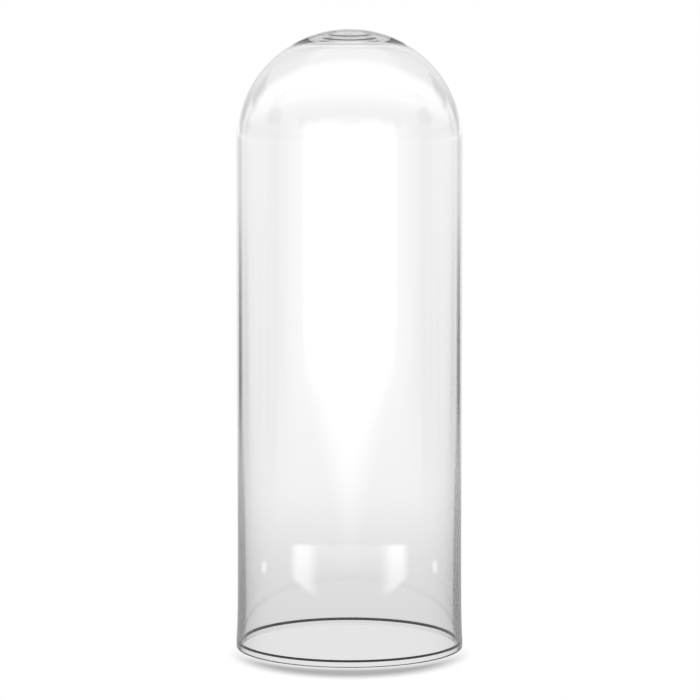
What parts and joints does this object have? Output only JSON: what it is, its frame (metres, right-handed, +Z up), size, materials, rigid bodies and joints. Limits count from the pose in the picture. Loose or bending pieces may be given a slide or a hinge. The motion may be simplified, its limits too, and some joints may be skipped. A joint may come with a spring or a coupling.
{
  "type": "bell jar dome",
  "caption": "Tall round-topped bell jar dome in clear blown glass, open underneath, to stand over a displayed object on a flat base.",
  "frame": {"origin": "centre of the circle that the rim rests on, on the plane that the dome stands on", "axes": "+Z up along the dome's axis of revolution; X and Y lie in the resting plane, and their direction is free because the dome is round"},
  "size_m": [0.221, 0.221, 0.6],
  "materials": {
    "clear_glass": "clear, smooth, fire-polished blown glass, very slightly grey"
  },
  "bodies": {
    "root": {"glass_dome": "clear_glass"}
  },
  "joints": []
}
